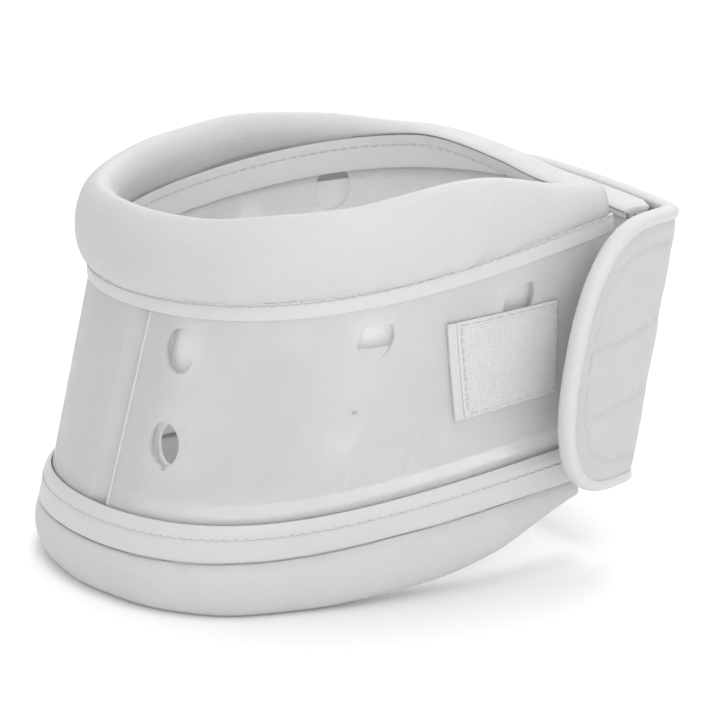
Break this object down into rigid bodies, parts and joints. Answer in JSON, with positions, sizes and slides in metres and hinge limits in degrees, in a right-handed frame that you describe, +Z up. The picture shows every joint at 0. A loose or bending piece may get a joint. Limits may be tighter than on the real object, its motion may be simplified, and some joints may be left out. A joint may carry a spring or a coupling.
{
  "type": "cervical collar",
  "caption": "Height-adjustable semi-rigid neck collar: vented plastic shell in two sliding halves, padded chin roll and lower edge, padded hook-and-loop closure strap.",
  "frame": {"origin": "centre of the bounding box in plan, at the underside of the lower pad", "axes": "-X is the chin, +X the closure at the nape, +Z up; the tab and hook patch are on the -Y side"},
  "size_m": [0.1615, 0.1179, 0.1061],
  "materials": {
    "clear_sheet": "translucent milky polyethylene sheet, satin",
    "band_sheet": "translucent milky polyethylene sheet, satin",
    "vinyl": "soft-grain white leatherette, low sheen",
    "tape": "smooth white edging tape, sewn",
    "foam": "open-cell padding foam",
    "strap_fabric": "brushed white padded fabric",
    "binding": "white woven bias binding",
    "hook": "white hook tape",
    "loop": "white loop pile"
  },
  "bodies": {
    "lower_collar": {"chin_panel": "clear_sheet", "side_panel_near": "clear_sheet", "side_panel_far": "clear_sheet", "base_cover": "vinyl", "base_tape_outer": "tape", "base_tape_inner": "tape", "base_foam": "foam", "strap_foam": "foam", "strap_face": "strap_fabric", "strap_binding_low": "binding", "strap_binding_high": "binding", "patch_selvedge": "binding", "strap_anchor": "tape", "hook_patch": "hook", "height_hook_near": "hook", "height_hook_far": "hook", "strap_lining": "loop"},
    "upper_collar": {"inner_band": "band_sheet", "rim_cover": "vinyl", "rim_foam": "foam", "rim_tape_outer": "tape", "rim_tape_inner": "tape", "height_loop_near": "loop", "height_loop_far": "loop"},
    "closure_tab": {"tab_foam": "foam", "tab_face": "strap_fabric", "tab_loop_lining": "loop", "tab_binding": "binding", "strap_fold": "strap_fabric"}
  },
  "joints": [
    {"name": "height_adjust", "type": "slide", "parent": "lower_collar", "child": "upper_collar", "axis": [0.3141, 0, 0.9494], "range_m": [0, 0.02]},
    {"name": "tab_fold", "type": "hinge", "parent": "lower_collar", "child": "closure_tab", "pos_m": [0.06724, -0.00325, 0.02058], "axis": [0.1665, 0.0764, 0.9831], "range_deg": [-12, 110]}
  ]
}
